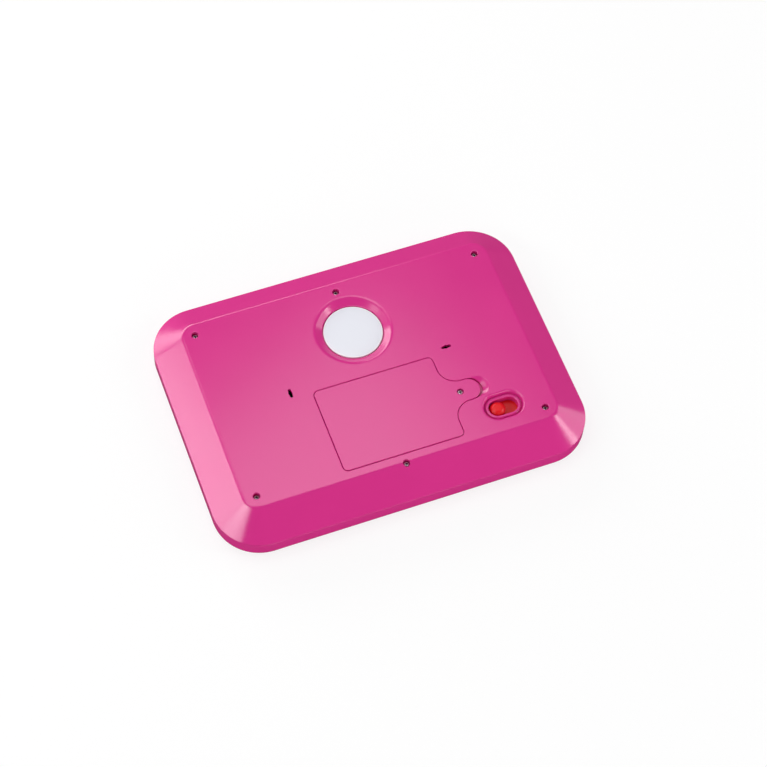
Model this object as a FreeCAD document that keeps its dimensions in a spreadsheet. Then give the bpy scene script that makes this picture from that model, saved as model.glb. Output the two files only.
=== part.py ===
"""Children's toy tablet, lying on its front with its back up.

The case is two moulded shells screwed together. The back carries a battery door, a slide
switch and a round badge recess; the front carries a grid of light-up tiles, a home button
and a small speaker. Lengths are millimetres, +Z points out of the back, and the origin is
the middle of the face the tablet lies on.
"""
import FreeCAD, Part
import math
import os
import re
import Sketcher

os.makedirs("parts", exist_ok=True)
doc = FreeCAD.newDocument("toy_tablet")
V = FreeCAD.Vector
NEAR = 0.02  # lengths this close count as equal

# Driving sizes: word, value, meaning.
SIZES = (
    ("case_length", 265.0, "case, long side"),
    ("case_width", 190.0, "case, short side"),
    ("case_corner", 32.4, "corner radius of the case outline"),
    ("wall", 2.4, "wall of both shells"),
    ("parting_height", 13.9, "lower edge of the rear shell"),
    ("edge_land", 0.5, "upright land below the bevel"),
    ("bevel_run", 20.9, "inward run of the bevel"),
    ("plateau_corner", 10.0, "corner radius of the back plateau"),
    ("plateau_round", 3.5, "rounding of the plateau edge"),
    ("front_round", 4.0, "rounding of the front edge"),
    ("seam_gap", 0.35, "gap between the shells at the seam"),
    ("seam_round", 0.5, "rounding of the edges at the seam"),
    ("lip_height", 2.0, "locating lip of the rear shell"),
    ("lip_thickness", 1.1, "thickness of that lip"),
    ("slide_gap", 0.2, "gap between parts that slide in each other"),
    ("seat_gap", 0.1, "gap under a seated part"),
    ("screw_end", 29.7, "corner screws, from the case's ends"),
    ("screw_side", 29.6, "corner screws, from the case's long sides"),
    ("screw_top_side", 27.8, "top middle screw, from the top side"),
    ("screw_low_side", 20.6, "bottom middle screw, from the bottom side"),
    ("screw_low_across", -0.9, "bottom middle screw along X"),
    ("well_width", 4.8, "recess over a case screw"),
    ("well_depth", 4.1, "screw seats below the plateau"),
    ("well_round", 0.5, "rounding of the edge of a recess"),
    ("boss_width", 9.6, "boss round a case screw, rear shell"),
    ("post_width", 8.0, "post under a case screw, front shell"),
    ("screw_head", 3.8, "case screw head"),
    ("screw_head_height", 2.0, "case screw head, height"),
    ("screw_shank", 2.4, "case screw shank"),
    ("screw_length", 17.0, "case screw, under the head"),
    ("screw_play", 0.4, "clearance hole over the shank"),
    ("door_across", 0.95, "battery door centre along X"),
    ("door_up", -35.5, "battery door centre along Y"),
    ("door_length", 85.5, "battery door without its tongue"),
    ("door_width", 64.0, "battery door, along Y"),
    ("door_corner", 3.5, "battery door corner radius"),
    ("door_thickness", 2.2, "battery door plate"),
    ("door_gap", 0.35, "gap round the battery door"),
    ("door_round", 0.45, "rounding of the door's edge"),
    ("recess_round", 0.6, "rounding of the shell's edge round the door"),
    ("tongue_reach", 23.0, "tongue beyond the door's edge"),
    ("tongue_radius", 8.0, "rounded end of the tongue"),
    ("tongue_root", 12.7, "hollow corner beside the tongue"),
    ("tongue_extra", 1.2, "extra thickness under the tongue"),
    ("tip_gap", 1.6, "extra gap before the tongue's end"),
    ("scoop_across", 65.6, "finger scoop at the tongue's end along X"),
    ("scoop_depth", 2.4, "depth of the finger scoop"),
    ("scoop_ball", 14.0, "radius of the ball that shapes the finger scoop"),
    ("scoop_round", 1.2, "rounding of the finger scoop's edge"),
    ("ledge", 3.2, "ledge that carries the door"),
    ("ledge_thickness", 2.0, "thickness of that ledge"),
    ("tub_floor", 1.2, "floor of the battery tub"),
    ("tub_wall", 1.6, "walls inside the battery tub"),
    ("hook_width", 9.0, "hooks at the door's hinge edge"),
    ("hook_spread", 18.0, "hooks, from the door's middle line"),
    ("hook_reach", 2.3, "reach of a hook under the shell"),
    ("hook_drop", 1.8, "drop of a hook under the door"),
    ("hook_thickness", 1.2, "thickness of a hook"),
    ("door_screw_across", 52.7, "door screw along X"),
    ("door_screw_head", 3.8, "door screw head"),
    ("door_screw_head_height", 1.7, "door screw head, height"),
    ("door_screw_ring", 0.5, "open ring round the door screw's head"),
    ("door_screw_sink", 2.6, "depth of the door screw's seat"),
    ("door_screw_length", 6.5, "door screw, under the head"),
    ("door_screw_play", 1.2, "shell bore over the door screw"),
    ("cell_width", 14.5, "AA cell diameter"),
    ("cell_length", 50.5, "AA cell with its cap"),
    ("cell_cap_width", 5.5, "cap of a cell"),
    ("cell_cap_height", 1.3, "height of that cap"),
    ("cell_gap", 1.5, "play between a cell and the ribs beside it"),
    ("cell_headroom", 0.3, "gap between the cells and the door"),
    ("bay_wall_height", 11.6, "walls at the cells' ends"),
    ("cell_rib_height", 4.8, "ribs between the cells"),
    ("contact_plate", 10.2, "side of a square contact plate"),
    ("cell_clear", 0.1, "gap under a cell"),
    ("spring_room", 6.0, "room for the spring contact"),
    ("contact_thickness", 0.5, "contact sheet metal"),
    ("badge_across", 0.96, "badge recess along X"),
    ("badge_up", 34.38, "badge recess along Y"),
    ("badge_dish", 26.4, "radius of the badge recess at the back"),
    ("badge_inner", 21.6, "radius of the recess floor"),
    ("badge_dish_round", 4.0, "rounding of the badge recess at the back"),
    ("badge_inner_round", 0.8, "rounding round the recess floor"),
    ("badge_radius", 20.9, "radius of the badge disc"),
    ("badge_depth", 3.6, "depth of the recess floor"),
    ("badge_thickness", 1.4, "badge disc"),
    ("badge_proud", 0.4, "badge disc above the recess floor"),
    ("badge_round", 0.35, "rounding of the disc's edge"),
    ("badge_gap", 0.3, "gap round the disc"),
    ("switch_across", 76.6, "power switch along X"),
    ("switch_up", -54.6, "power switch along Y"),
    ("dish_length", 28.2, "oval dish at the back, along X"),
    ("dish_width", 19.7, "oval dish at the back, along Y"),
    ("dish_floor_length", 26.2, "oval dish at its floor, along X"),
    ("dish_floor_width", 17.6, "oval dish at its floor, along Y"),
    ("dish_depth", 3.3, "depth of the dish"),
    ("dish_round", 1.6, "rounding of the dish at the back"),
    ("dish_floor_round", 0.5, "rounding round the dish's floor"),
    ("slot_length", 20.8, "switch opening along X"),
    ("slot_width", 12.2, "switch opening along Y"),
    ("slot_rim_height", 1.4, "raised rim round the opening"),
    ("slot_rim_width", 2.3, "width of that rim"),
    ("slot_rim_round", 1.2, "rounding of the rim, outer side"),
    ("slot_edge_round", 0.5, "rounding of the rim, inner side"),
    ("slot_skirt", 1.7, "collar round the opening, under the dish"),
    ("skirt_wall", 1.2, "wall of that collar"),
    ("dish_wall", 2.0, "wall under the dish"),
    ("knob_width", 10.8, "switch knob diameter"),
    ("knob_rest", 1.1, "gap from the knob to the opening's end"),
    ("knob_top", 27.5, "height of the knob's dome"),
    ("slider_thickness", 1.6, "plate under the knob"),
    ("slider_cover", 1.5, "plate beyond the opening"),
    ("tie_across", 56.3, "tie slots along X"),
    ("tie_up", 0.75, "tie slots along Y"),
    ("tie_length", 7.0, "tie slot length"),
    ("tie_width", 2.2, "tie slot width"),
    ("tie_bulge", 3.0, "round middle of a tie slot"),
    ("front_wall", 2.5, "front panel thickness"),
    ("frame_end", 37.5, "front panel beside the tile window"),
    ("frame_side", 35.0, "front panel above and below the tile window"),
    ("window_corner", 10.0, "corner radius of that opening"),
    ("tile_columns", 7, "tiles along X"),
    ("tile_rows", 4, "tiles along Y"),
    ("grid_end", 4.0, "tile window beyond the tile columns"),
    ("grid_side", 3.0, "tile window beyond the tile rows"),
    ("tile_rib", 4.4, "grid between tiles along X"),
    ("row_rib", 6.9, "grid between tiles along Y"),
    ("tile_corner", 3.0, "corner radius of a tile"),
    ("tile_gap", 0.3, "gap round a tile"),
    ("tile_recess", 0.5, "tile faces behind the front face"),
    ("tile_flange", 1.4, "rim that keeps a tile in"),
    ("tile_flange_height", 1.0, "thickness of that rim"),
    ("press_travel", 1.2, "travel of tiles and home button"),
    ("grid_recess", 1.2, "grid face behind the front face"),
    ("grid_back", 4.1, "back of the tile grid"),
    ("grid_flange", 2.1, "grid rim behind the front panel"),
    ("dome_top", 6.9, "top of the rubber domes"),
    ("dome_width", 8.6, "rubber dome at its foot"),
    ("dome_taper", 20.0, "slope of a dome's side, in degrees"),
    ("mat_face", 8.1, "rubber mat, side with the domes"),
    ("board_face", 8.9, "circuit board, side to the mat"),
    ("board_thickness", 1.6, "circuit board"),
    ("board_margin", 2.0, "board inside the window opening"),
    ("home_end", 18.5, "home button, from the case's end"),
    ("home_width", 17.0, "home button face"),
    ("speaker_end", 18.5, "speaker, from the case's end"),
    ("speaker_width", 28.0, "speaker diameter"),
    ("grille_hole", 2.4, "grille hole"),
    ("speaker_flange", 0.8, "speaker rim thickness"),
    ("speaker_seat_height", 3.0, "ring the speaker stands on"),
    ("speaker_depth", 6.0, "speaker basket depth"),
    ("speaker_back", 8.4, "radius of the basket's back"),
    ("speaker_ledge", 2.5, "flat rim of the basket, inwards"),
    ("speaker_screw_head", 8.5, "washer head of a speaker screw"),
    ("cone_rim", 1.8, "edge of the cone, glued under the basket's rim"),
    ("cone_width", 24.4, "cone diameter"),
    ("magnet_width", 15.0, "speaker magnet"),
    ("magnet_height", 4.0, "speaker magnet"),
    ("home_stem", 5.6, "home button, face to the end of its stem"),
    ("home_board_face", 11.6, "home button board, side to the button"),
    ("home_post_spread", 13.0, "home board posts, from its middle"),
    ("plunger_width", 3.0, "plunger of the push switch"),
    ("tact_size", 6.0, "push switch"),
    ("tub_clear", 0.2, "gap between circuit board and tub"),
    ("small_post", 5.0, "post for a small screw"),
    ("grid_post", 3.6, "post between the tiles for a board screw"),
    ("small_shank", 2.0, "small screw shank"),
    ("small_head", 4.2, "small screw head"),
    ("small_head_height", 1.3, "small screw head, height"),
    ("small_screw_length", 5.0, "small screw, under the head"),
    ("knob_dome", 2.2, "height of the knob's dome"),
    ("knob_round", 2.0, "rounding of the knob's dome"),
    ("lever_width", 2.6, "lever of the slide switch"),
    ("fork_depth", 2.0, "fork under the slider"),
    ("fork_width", 6.2, "fork under the slider, across the travel"),
    ("fork_clear", 0.5, "gap between the fork and the slide switch"),
    ("switch_body_height", 3.6, "body of the slide switch"),
    ("switch_body_width", 6.2, "body of the slide switch, across the travel"),
    ("switch_post_spread", 12.2, "switch board posts, from its middle"),
    ("chip_size", 12.0, "sound chip"),
)

# Sizes that follow from the driving ones: word, expression, meaning.
FOLLOWING = (
    ("tub_underside", "board_face + board_thickness + tub_clear", "underside of the battery tub"),
    ("tub_top", "tub_underside + tub_floor", "floor of the battery tub, side to the cells"),
    ("case_height", "tub_top + cell_clear + cell_width + cell_headroom + door_thickness",
     "front face to back plateau"),
    ("well_floor", "case_height - well_depth", "height of the screw seats"),
    ("cell_pitch", "cell_width + tub_wall + cell_gap", "cells, centre to centre"),
    ("screw_across", "case_length / 2 - screw_end", "corner screws along X"),
    ("screw_up", "case_width / 2 - screw_side", "corner screws along Y"),
    ("screw_top", "case_width / 2 - screw_top_side", "top middle screw along Y"),
    ("screw_low", "case_width / 2 - screw_low_side", "bottom middle screw along Y"),
    ("window_length", "case_length - 2 * frame_end", "tile window along X"),
    ("window_width", "case_width - 2 * frame_side", "tile window along Y"),
    ("tile_pitch", "(window_length - 2 * grid_end) / tile_columns", "tiles, centre to centre, along X"),
    ("row_pitch", "(window_width - 2 * grid_side) / tile_rows", "tiles, centre to centre, along Y"),
    ("tile_length", "tile_pitch - tile_rib", "face of a tile along X"),
    ("tile_width", "row_pitch - row_rib", "face of a tile along Y"),
    ("home_across", "home_end - case_length / 2", "home button along X"),
    ("speaker_across", "case_length / 2 - speaker_end", "speaker along X"),
    ("dish_floor_height", "case_height - dish_depth", "floor of the switch dish"),
    ("dish_underside", "dish_floor_height - dish_wall", "underside of that floor"),
    ("slider_top", "dish_underside - slot_skirt - slide_gap", "top of the plate under the knob"),
    ("switch_body_top", "slider_top - slider_thickness - fork_depth - fork_clear",
     "top of the slide switch"),
    ("switch_board_top", "switch_body_top - switch_body_height", "switch board, side to the slider"),
)

sheet = doc.addObject("Spreadsheet::Sheet", "sizes")
for row, (word, number, meaning) in enumerate(SIZES, start=1):
    sheet.set("A%d" % row, word)
    sheet.set("B%d" % row, str(number))
    sheet.set("C%d" % row, meaning)
    sheet.setAlias("B%d" % row, word)
doc.recompute()
WORDS = {word for word, number, meaning in SIZES}
MEANT = {word: expression for word, expression, meaning in FOLLOWING}


def bound(text):
    """Write an expression out in the sheet's own words."""
    def spelled(found):
        word = found.group()
        if word in MEANT:
            return "(%s)" % bound(MEANT[word])
        return "sizes." + word if word in WORDS else word

    return re.sub(r"(?<![\w.])[a-z]\w*", spelled, text)


def value(text):
    """Work an expression of the sheet's words out to a plain number."""
    return float(sheet.evalExpression(bound(text)))


# ---------------------------------------------------------------- sketches and features

def body_named(name):
    """Make an empty body whose label is the sub-part's name."""
    body = doc.addObject("PartDesign::Body", name)
    body.Label = name
    return body


def sketch_on(body, name, height="0", role="XY_Plane", across="0"):
    """Put a sketch on one of the body's origin planes, lifted along its normal or moved along X."""
    plane = next(item for item in body.Origin.OriginFeatures if item.Role == role)
    sketch = body.newObject("Sketcher::SketchObject", name)
    sketch.AttachmentSupport = [(plane, "")]
    sketch.MapMode = "FlatFace"
    if height != "0":
        sketch.setExpression("AttachmentOffset.Base.z", bound(height))
    if across != "0":
        sketch.setExpression("AttachmentOffset.Base.x", bound(across))
    return sketch


def tie(sketch, ties):
    """Hold points and radii of a sketch at expressions: (kind, geometry, end, text)."""
    constraints = []
    texts = []
    for kind, geometry, end, text in ties:
        if kind == "Radius":
            constraints.append(Sketcher.Constraint(kind, geometry, value(text)))
            texts.append(text)
        elif text == "0":
            axis = -2 if kind == "DistanceX" else -1
            constraints.append(Sketcher.Constraint("PointOnObject", geometry, end, axis))
            texts.append(None)
        else:
            constraints.append(Sketcher.Constraint(kind, -1, 1, geometry, end, value(text)))
            texts.append(text)
    numbers = sketch.addConstraint(constraints)
    for number, text in zip(numbers, texts):
        if text:
            sketch.setExpression("Constraints[%d]" % number, bound(text))


def circle(sketch, across, up, radius):
    """Draw a circle."""
    centre = V(value(across), value(up), 0)
    geometry = sketch.addGeometry(Part.Circle(centre, V(0, 0, 1), value(radius)))
    tie(sketch, (("DistanceX", geometry, 3, across), ("DistanceY", geometry, 3, up),
                 ("Radius", geometry, 0, radius)))


def polygon(sketch, corners):
    """Draw a closed outline of straight lines through corners given as (across, up)."""
    points = [V(value(across), value(up), 0) for across, up in corners]
    lines = [Part.LineSegment(start, end) for start, end in zip(points, points[1:] + points[:1])]
    numbers = sketch.addGeometry(lines)
    sketch.addConstraint([Sketcher.Constraint("Coincident", here, 2, there, 1)
                          for here, there in zip(numbers, numbers[1:] + numbers[:1])])
    ties = []
    for number, (across, up) in zip(numbers, corners):
        ties += [("DistanceX", number, 1, across), ("DistanceY", number, 1, up)]
    tie(sketch, ties)


def chain(sketch, arcs):
    """Draw a closed outline of arcs joined by straight lines that touch both.

    Each arc is (across, up, radius, angle where it is entered, angle where it is left).
    An arc whose angle falls is a hollow corner.
    """
    entries = []
    exits = []
    numbers = []
    for across, up, radius, begin, finish in arcs:
        centre = V(value(across), value(up), 0)
        reach = value(radius)
        low, high = sorted((begin, finish))
        ring = Part.Circle(centre, V(0, 0, 1), reach)
        piece = Part.ArcOfCircle(ring, math.radians(low), math.radians(high))
        numbers.append(sketch.addGeometry(piece))
        rising = finish > begin
        ends = []
        for angle in (begin, finish):
            turn = math.radians(angle)
            ends.append(centre + V(reach * math.cos(turn), reach * math.sin(turn), 0))
        entries.append((ends[0], 1 if rising else 2))
        exits.append((ends[1], 2 if rising else 1))
    touches = []
    for index in range(len(arcs)):
        following = (index + 1) % len(arcs)
        line = sketch.addGeometry(Part.LineSegment(exits[index][0], entries[following][0]))
        touches.append(Sketcher.Constraint("Tangent", numbers[index], exits[index][1], line, 1))
        touches.append(Sketcher.Constraint("Tangent", line, 2, numbers[following], entries[following][1]))
    sketch.addConstraint(touches)
    ties = []
    for number, (across, up, radius, begin, finish) in zip(numbers, arcs):
        ties += [("DistanceX", number, 3, across), ("DistanceY", number, 3, up),
                 ("Radius", number, 0, radius)]
    tie(sketch, ties)


def rounded(sketch, length, width, corner, across="0", up="0"):
    """Draw a rounded rectangle about a centre."""
    right = "%s + (%s) / 2 - (%s)" % (across, length, corner)
    left = "%s - (%s) / 2 + (%s)" % (across, length, corner)
    high = "%s + (%s) / 2 - (%s)" % (up, width, corner)
    low = "%s - (%s) / 2 + (%s)" % (up, width, corner)
    chain(sketch, ((right, low, corner, -90, 0), (right, high, corner, 0, 90),
                   (left, high, corner, 90, 180), (left, low, corner, 180, 270)))


def oval(sketch, length, width, across, up):
    """Draw a slot outline: two half circles joined by straight lines along X."""
    reach = "((%s) - (%s)) / 2" % (length, width)
    chain(sketch, (("%s + %s" % (across, reach), up, "(%s) / 2" % width, -90, 90),
                   ("%s - %s" % (across, reach), up, "(%s) / 2" % width, 90, 270)))


def box_outline(sketch, left, right, low, high):
    """Draw a plain rectangle between four sides."""
    polygon(sketch, ((left, low), (right, low), (right, high), (left, high)))


def pad(body, sketch, length, down=False):
    """Grow a sketch along its normal, or against it."""
    feature = body.newObject("PartDesign::Pad", sketch.Name + "_pad")
    feature.Profile = sketch
    feature.Reversed = down
    feature.setExpression("Length", bound(length))
    return feature


def pocket(body, sketch, depth=None):
    """Cut a sketch against its normal, right through where no depth is given."""
    feature = body.newObject("PartDesign::Pocket", sketch.Name + "_cut")
    feature.Profile = sketch
    if depth is None:
        feature.Type = "ThroughAll"
    else:
        feature.setExpression("Length", bound(depth))
    return feature


def loft(body, kind, lower, upper, name):
    """Join two sketches by straight walls, as a solid or as a cut."""
    feature = body.newObject("PartDesign::" + kind, name)
    feature.Profile = lower
    feature.Sections = [upper]
    feature.Ruled = True
    return feature


def turned(body, kind, sketch, name):
    """Turn a profile about its sketch's upright axis, as a solid or as a cut."""
    feature = body.newObject("PartDesign::" + kind, name)
    feature.Profile = sketch
    feature.ReferenceAxis = (sketch, ["V_Axis"])
    feature.Angle = 360.0
    return feature


def round_edges(body, kind, size, chosen, name):
    """Fillet or chamfer the tip's edges that the test picks by their box."""
    doc.recompute()
    base = body.Tip
    names = ["Edge%d" % number for number, edge in enumerate(base.Shape.Edges, start=1)
             if chosen(edge)]
    feature = body.newObject("PartDesign::" + kind, name)
    feature.Base = (base, names)
    feature.setExpression("Radius" if kind == "Fillet" else "Size", bound(size))
    return feature


def lying(height, across="0", up="0", length="case_length", width="case_width"):
    """Make a test for edges that lie at one height, inside a rectangle about a place."""
    middle = V(value(across), value(up), value(height))
    reach = V(value(length) / 2 + NEAR, value(width) / 2 + NEAR, NEAR)

    def test(edge):
        box = edge.BoundBox
        low = V(box.XMin, box.YMin, box.ZMin) - middle
        high = V(box.XMax, box.YMax, box.ZMax) - middle
        return all(max(abs(low[axis]), abs(high[axis])) < reach[axis] for axis in range(3))

    return test


def place(item, across="0", up="0", height="0", turn=None):
    """Set a piece's place by expressions, after an optional turn given as (axis, degrees)."""
    if turn:
        item.Placement = FreeCAD.Placement(V(), FreeCAD.Rotation(turn[0], turn[1]))
    for axis, text in zip("xyz", (across, up, height)):
        item.setExpression("Placement.Base." + axis, bound(text))
    return item


def primitive(kind, name, sizes, across="0", up="0", height="0", turn=None):
    """Make a Part primitive with its sizes and place bound to the sheet."""
    item = doc.addObject("Part::" + kind, name)
    for word, text in sizes:
        item.setExpression(word, bound(text))
    return place(item, across, up, height, turn)


def joined(name, items):
    """Fuse Part shapes into one solid."""
    item = doc.addObject("Part::MultiFuse", name)
    item.Shapes = items
    return item


def group(name, items):
    """Keep like solids together as one sub-part."""
    item = doc.addObject("Part::Compound", name)
    item.Label = name
    item.Links = items
    return item


def screw(name, across, up, seat, head, head_height, shank, length, upside_down=False):
    """Make a pan screw whose head stands on a seat, with a short point."""
    half = "(%s) / 2" % shank
    sign = "+" if upside_down else "-"
    turn = (V(1, 0, 0), 0 if upside_down else 180)
    top = "%s %s (%s)" % (seat, "-" if upside_down else "+", head_height)
    tip = "%s %s ((%s) - (%s))" % (seat, sign, length, shank)
    parts = [primitive("Cylinder", name + "_head", (("Radius", "(%s) / 2" % head), ("Height", head_height)),
                       across, up, top, turn),
             primitive("Cylinder", name + "_shank",
                       (("Radius", half), ("Height", "(%s) - (%s)" % (length, shank))),
                       across, up, seat, turn),
             primitive("Cone", name + "_point",
                       (("Radius1", half), ("Radius2", half + " / 3"), ("Height", shank)),
                       across, up, tip, turn)]
    return joined(name, parts)


# ---------------------------------------------------------------- lines that several pieces share

PLATEAU_LENGTH = "case_length - 2 * bevel_run"
PLATEAU_WIDTH = "case_width - 2 * bevel_run"
BEVEL_RISE = "(case_height - parting_height - edge_land)"
INNER_INSET = "wall * (sqrt(bevel_run ^ 2 + %s ^ 2) - bevel_run) / %s" % (BEVEL_RISE, BEVEL_RISE)
FOOT_INSET = "(wall + slide_gap + lip_thickness)"
FOOT_OUTLINE = ("case_length - 2 * " + FOOT_INSET, "case_width - 2 * " + FOOT_INSET,
                "case_corner - " + FOOT_INSET)
CEILING = "case_height - wall"
FRONT_TOP = "parting_height - seam_gap"
FLAT_SCREWS = (("screw_across", "screw_up"), ("-screw_across", "screw_up"),
               ("screw_across", "-screw_up"), ("-screw_across", "-screw_up"), ("0", "screw_top"))
SCREW_PLACES = FLAT_SCREWS + (("screw_low_across", "-screw_low"),)
DOOR_LEFT = "door_across - door_length / 2"
DOOR_RIGHT = "door_across + door_length / 2"
TONGUE_CENTRE = "door_across + door_length / 2 + tongue_reach - tongue_radius"
DOOR_UNDERSIDE = "case_height - door_thickness"
TUB_LENGTH = "door_length - 2 * ledge"
TUB_WIDTH = "door_width - 2 * ledge"
BAY = "cell_length + spring_room + contact_thickness"
SPEAKER_FOOT = "front_wall + speaker_seat_height"
SPEAKER_SPREAD = "(speaker_width / 2 + small_post / 2 + slide_gap)"
KNOB_ACROSS = "switch_across - slot_length / 2 + knob_rest + knob_width / 2"
DISH = ("switch_across", "switch_up")


def door_outline(sketch, grow):
    """Draw the battery door and its tongue, larger all round by an amount."""
    corner = "door_corner + (%s)" % grow
    root = "tongue_root - (%s)" % grow
    right = "%s - door_corner" % DOOR_RIGHT
    left = "%s + door_corner" % DOOR_LEFT
    low = "door_up - door_width / 2 + door_corner"
    high = "door_up + door_width / 2 - door_corner"
    root_across = "%s + tongue_root" % DOOR_RIGHT
    chain(sketch, ((right, low, corner, -90, 0),
                   (root_across, "door_up - tongue_radius - tongue_root", root, 180, 90),
                   (TONGUE_CENTRE, "door_up", "tongue_radius + (%s)" % grow, -90, 90),
                   (root_across, "door_up + tongue_radius + tongue_root", root, 270, 180),
                   (right, high, corner, 0, 90), (left, high, corner, 90, 180),
                   (left, low, corner, 180, 270)))


def tongue_outline(sketch, grow):
    """Draw the thick end of the tongue, from round the door screw to its tip."""
    radius = "tongue_radius + (%s)" % grow
    chain(sketch, ((TONGUE_CENTRE, "door_up", radius, -90, 90),
                   ("door_screw_across", "door_up", radius, 90, 270)))


# ---------------------------------------------------------------- rear shell

core = body_named("rear_core")
foot = sketch_on(core, "core_foot", "parting_height")
rounded(foot, *FOOT_OUTLINE)
ceiling = sketch_on(core, "core_ceiling", CEILING)
rounded(ceiling, "%s - 2 * %s" % (PLATEAU_LENGTH, INNER_INSET),
        "%s - 2 * %s" % (PLATEAU_WIDTH, INNER_INSET), "plateau_corner - " + INNER_INSET)
loft(core, "AdditiveLoft", foot, ceiling, "core_hollow")
overrun = sketch_on(core, "core_overrun", "parting_height")
rounded(overrun, *FOOT_OUTLINE)
pad(core, overrun, "wall", down=True)
bosses = sketch_on(core, "core_bosses", CEILING)
for across, up in SCREW_PLACES:
    circle(bosses, across, up, "boss_width / 2")
pocket(core, bosses)
badge_wall = sketch_on(core, "core_badge", CEILING)
circle(badge_wall, "badge_across", "badge_up", "badge_dish + wall")
pocket(core, badge_wall, "badge_depth")
dish_wall = sketch_on(core, "core_dish", CEILING)
oval(dish_wall, "dish_length + 2 * wall", "dish_width + 2 * wall", *DISH)
pocket(core, dish_wall, "dish_depth + dish_wall - wall")
scoop_wall = sketch_on(core, "core_scoop", CEILING)
circle(scoop_wall, "scoop_across", "door_up", "sqrt(2 * scoop_ball * scoop_depth)")
pocket(core, scoop_wall, "scoop_depth")
ledge_wall = sketch_on(core, "core_ledge", CEILING)
door_outline(ledge_wall, "door_gap + wall")
pocket(core, ledge_wall, "door_thickness + seat_gap + ledge_thickness - wall")
tongue_wall = sketch_on(core, "core_tongue", CEILING)
tongue_outline(tongue_wall, "door_gap + wall")
pocket(core, tongue_wall, "door_thickness + tongue_extra + seat_gap + ledge_thickness - wall")

rear = body_named("rear_shell")
bevel_foot = sketch_on(rear, "bevel_foot", "parting_height + edge_land")
rounded(bevel_foot, "case_length", "case_width", "case_corner")
plateau = sketch_on(rear, "plateau", "case_height")
rounded(plateau, PLATEAU_LENGTH, PLATEAU_WIDTH, "plateau_corner")
loft(rear, "AdditiveLoft", bevel_foot, plateau, "bevel")
land = sketch_on(rear, "land", "parting_height + edge_land")
rounded(land, "case_length", "case_width", "case_corner")
pad(rear, land, "edge_land", down=True)
round_edges(rear, "Fillet", "plateau_round", lying("case_height"), "plateau_edge")
hollow = rear.newObject("PartDesign::Boolean", "rear_hollow")
hollow.Type = "Cut"
hollow.Group = [core]

tub = sketch_on(rear, "tub", "tub_underside")
rounded(tub, TUB_LENGTH + " + 2 * tub_wall", TUB_WIDTH + " + 2 * tub_wall", "door_corner",
        "door_across", "door_up")
pad(rear, tub, DOOR_UNDERSIDE + " - tub_underside")
lip = sketch_on(rear, "lip", "parting_height")
rounded(lip, "case_length - 2 * (wall + slide_gap)", "case_width - 2 * (wall + slide_gap)",
        "case_corner - wall - slide_gap")
rounded(lip, *FOOT_OUTLINE)
pad(rear, lip, "lip_height", down=True)
door_boss = sketch_on(rear, "door_boss", "case_height - door_thickness - tongue_extra - ledge_thickness")
circle(door_boss, "door_screw_across", "door_up", "post_width / 2")
pad(rear, door_boss, "door_screw_length", down=True)

recess = sketch_on(rear, "door_recess", "case_height")
door_outline(recess, "door_gap")
pocket(rear, recess, "door_thickness + seat_gap")
round_edges(rear, "Fillet", "recess_round",
            lying("case_height", "door_across + tongue_reach / 2", "door_up",
                  "door_length + tongue_reach + 4 * door_gap", "door_width + 4 * door_gap"), "recess_edge")
tongue_seat = sketch_on(rear, "tongue_seat", "case_height")
tongue_outline(tongue_seat, "door_gap")
pocket(rear, tongue_seat, "door_thickness + tongue_extra + seat_gap")
tip_room = sketch_on(rear, "tip_room", "case_height")
circle(tip_room, TONGUE_CENTRE + " + tip_gap", "door_up", "tongue_radius + door_gap")
pocket(rear, tip_room, "door_thickness + tongue_extra + seat_gap")
bay = sketch_on(rear, "tub_hollow", "case_height")
rounded(bay, TUB_LENGTH, TUB_WIDTH, "door_corner", "door_across", "door_up")
pocket(rear, bay, "case_height - tub_top")
for side in ("-", "+"):
    middle = "door_up %s hook_spread" % side
    low = middle + " - hook_width / 2 - door_gap"
    high = middle + " + hook_width / 2 + door_gap"
    catch = sketch_on(rear, "hook_catch", CEILING)
    box_outline(catch, DOOR_LEFT + " - hook_reach - 3 * door_gap", DOOR_LEFT, low, high)
    pocket(rear, catch, "2 * (hook_drop + door_thickness) - wall")
    notch = sketch_on(rear, "hook_notch", "case_height")
    box_outline(notch, DOOR_LEFT + " - door_gap", DOOR_LEFT + " + ledge + tub_wall / 2", low, high)
    pocket(rear, notch, "2 * (hook_drop + door_thickness)")
screw_bore = sketch_on(rear, "door_screw_bore", "case_height")
circle(screw_bore, "door_screw_across", "door_up", "(screw_shank + door_screw_play) / 2")
pocket(rear, screw_bore)

for side in ("-", "+"):
    wall_line = "door_across %s (%s) / 2" % (side, BAY)
    bay_wall = sketch_on(rear, "bay_wall", "tub_top")
    outside = "%s %s tub_wall" % (wall_line, side)
    edges = (outside, wall_line) if side == "-" else (wall_line, outside)
    box_outline(bay_wall, edges[0], edges[1], "door_up - (%s) / 2" % TUB_WIDTH,
                "door_up + (%s) / 2" % TUB_WIDTH)
    pad(rear, bay_wall, "bay_wall_height")
    rib = sketch_on(rear, "cell_rib", "tub_top")
    rib_line = "door_up %s cell_pitch / 2" % side
    box_outline(rib, "door_across - cell_length / 2 + spring_room",
                "door_across + cell_length / 2 - spring_room",
                rib_line + " - tub_wall / 2", rib_line + " + tub_wall / 2")
    pad(rear, rib, "cell_rib_height")

wells = sketch_on(rear, "screw_wells", "case_height")
holes = sketch_on(rear, "screw_holes", "case_height")
for across, up in SCREW_PLACES:
    circle(wells, across, up, "well_width / 2")
    circle(holes, across, up, "(screw_shank + screw_play) / 2")
pocket(rear, wells, "well_depth")
for across, up in FLAT_SCREWS:
    round_edges(rear, "Fillet", "well_round", lying("case_height", across, up, "well_width", "well_width"),
                "well_edge")
pocket(rear, holes)

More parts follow.
